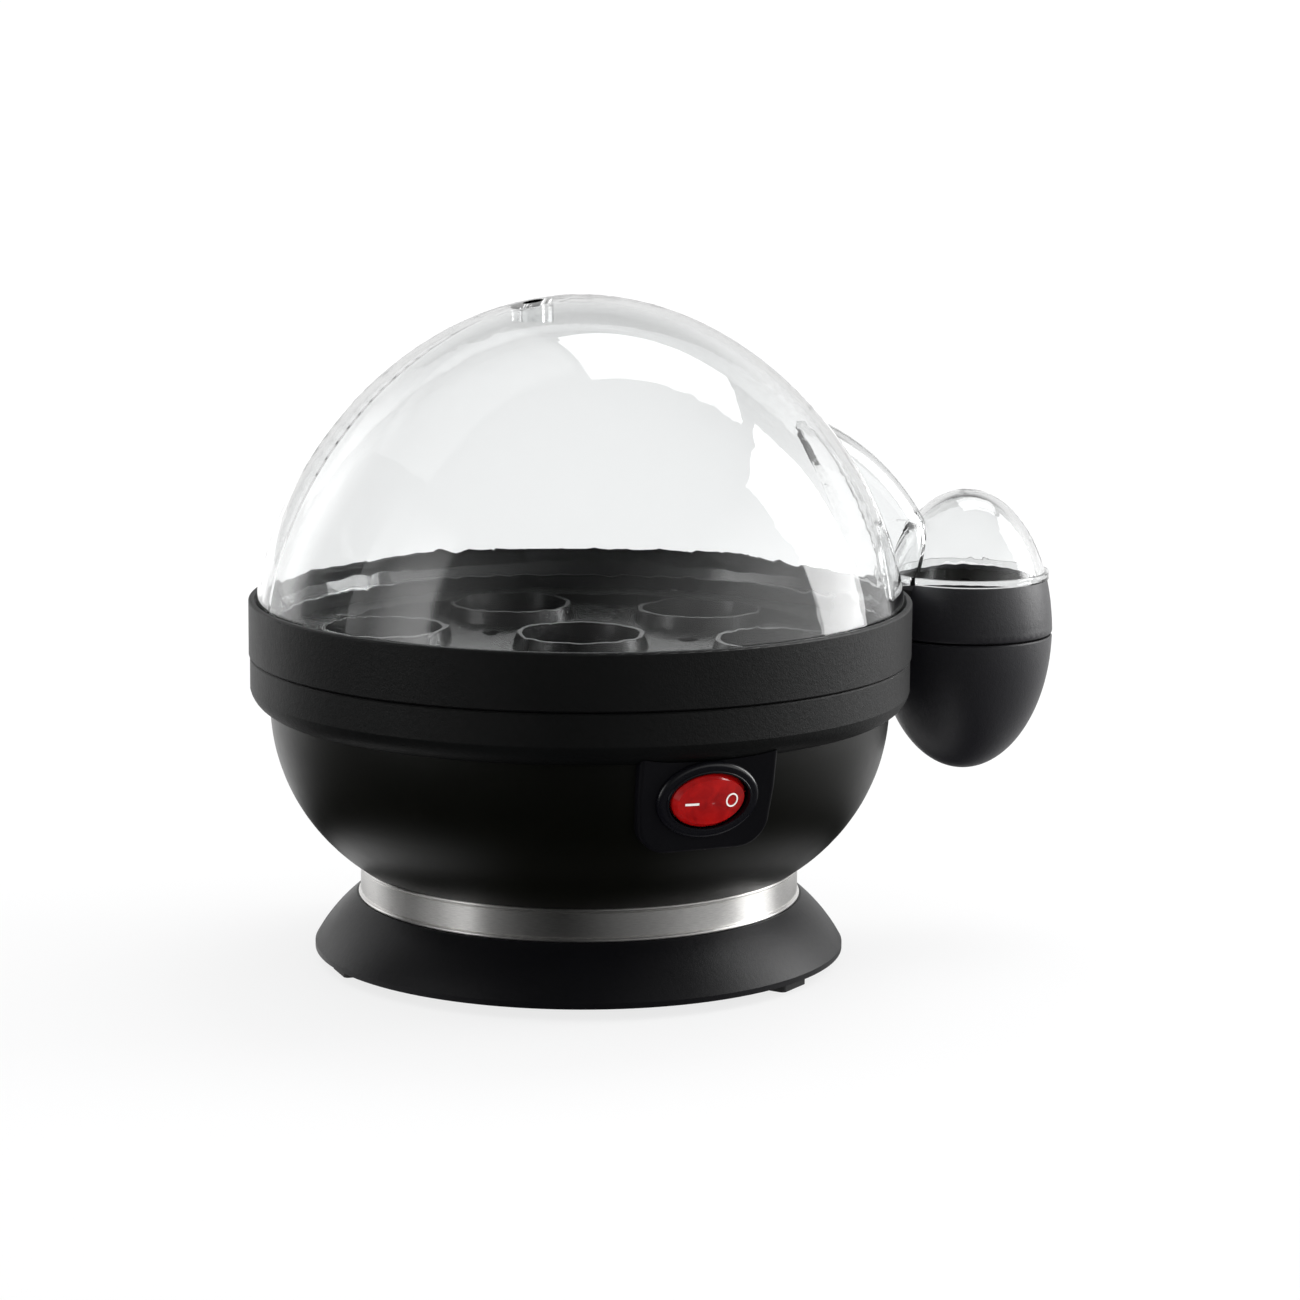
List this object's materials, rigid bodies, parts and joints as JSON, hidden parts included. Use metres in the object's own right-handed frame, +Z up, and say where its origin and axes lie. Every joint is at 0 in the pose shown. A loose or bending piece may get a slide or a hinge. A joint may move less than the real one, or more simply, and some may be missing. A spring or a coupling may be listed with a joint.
{
  "type": "egg cooker",
  "caption": "Domed electric egg cooker: clear lift-off lid, seated egg tray over a water dish, satin black bowl on a flared foot, red rocker switch and an egg-shaped side pod.",
  "frame": {"origin": "centre of the object's outline seen from above, on the plane the three feet stand on; the bowl's own axis is at x = -0.0235 m", "axes": "+Z up, +X from the bowl towards the side pod, the switch faces nearly -Y"},
  "size_m": [0.217, 0.17, 0.1715],
  "materials": {
    "grained_black": "fine grain, matt",
    "satin_black": "satin",
    "satin_charcoal": "fine grain, satin",
    "matt_black": "matt",
    "gloss_black": "satin gloss",
    "tray_black": "matt",
    "clear_plastic": "clear, polished",
    "trim_steel": "brushed along its length",
    "foot_rubber": "matt",
    "soft_rubber": "matt",
    "dish_coating": "non-stick coating",
    "cast_aluminium": "as cast",
    "element_steel": "heat-tinted",
    "sheet_steel": "galvanised",
    "dark_resin": "moulded resin",
    "fuse_metal": "plain",
    "pale_nylon": "matt",
    "brass": "plain",
    "rocker_red": "translucent red, polished",
    "mark_white": "printed",
    "lead_sleeve": "heat-proof sleeve",
    "spring_steel": "polished wire",
    "screw_steel": "zinc plated"
  },
  "bodies": {
    "base": {"bottom_cover": "matt_black", "bowl_housing": "satin_black", "collar_screw_1": "screw_steel", "collar_screw_2": "screw_steel", "collar_screw_3": "screw_steel", "cord_gland": "soft_rubber", "cover_screw_1": "screw_steel", "cover_screw_2": "screw_steel", "cover_screw_3": "screw_steel", "dish_screw_1": "screw_steel", "dish_screw_2": "screw_steel", "dish_screw_3": "screw_steel", "dish_seal": "soft_rubber", "element_terminals": "element_steel", "foot_1": "foot_rubber", "foot_2": "foot_rubber", "foot_3": "foot_rubber", "fuse_clip": "sheet_steel", "heat_shield": "sheet_steel", "heat_spreader": "cast_aluminium", "heating_dish": "dish_coating", "heating_element": "element_steel", "lead_element": "lead_sleeve", "lead_fuse": "lead_sleeve", "lead_live": "lead_sleeve", "lead_neutral": "lead_sleeve", "lead_switched": "lead_sleeve", "lower_band_ring": "grained_black", "pedestal_skirt": "satin_charcoal", "piercer_carrier": "matt_black", "piercer_needle": "spring_steel", "piercer_spring": "spring_steel", "pod_lower_shell": "satin_charcoal", "shield_post_1": "screw_steel", "shield_post_2": "screw_steel", "shield_post_3": "screw_steel", "shield_screw_1": "screw_steel", "shield_screw_2": "screw_steel", "shield_screw_3": "screw_steel", "steel_trim_ring": "trim_steel", "switch_blades": "brass", "switch_body": "pale_nylon", "switch_frame": "gloss_black", "switch_panel": "satin_charcoal", "terminal_block": "pale_nylon", "thermal_fuse": "fuse_metal", "thermostat": "dark_resin", "thermostat_screw_1": "screw_steel", "thermostat_screw_2": "screw_steel", "upper_collar": "grained_black"},
    "tray": {"egg_tray": "tray_black"},
    "lid": {"lid": "clear_plastic"},
    "rocker": {"rocker": "rocker_red", "rocker_marks": "mark_white"},
    "piercer": {"piercer_plate": "matt_black"}
  },
  "joints": [
    {"name": "tray_lift", "type": "slide", "parent": "base", "child": "tray", "axis": [0, 0, 1], "range_m": [0, 0.12]},
    {"name": "lid_lift", "type": "slide", "parent": "tray", "child": "lid", "axis": [0, 0, 1], "range_m": [0, 0.15]},
    {"name": "rocker_tilt", "type": "hinge", "parent": "base", "child": "rocker", "pos_m": [-0.01948, -0.07668, 0.05734], "axis": [-0.0093, 0.1768, -0.9842], "range_deg": [0, 10]},
    {"name": "piercer_press", "type": "slide", "parent": "base", "child": "piercer", "axis": [0, 0, 1], "range_m": [-0.005, 0], "stiffness_N_per_m": 120, "springref_m": 0.004, "deforming": ["piercer_spring"]}
  ]
}
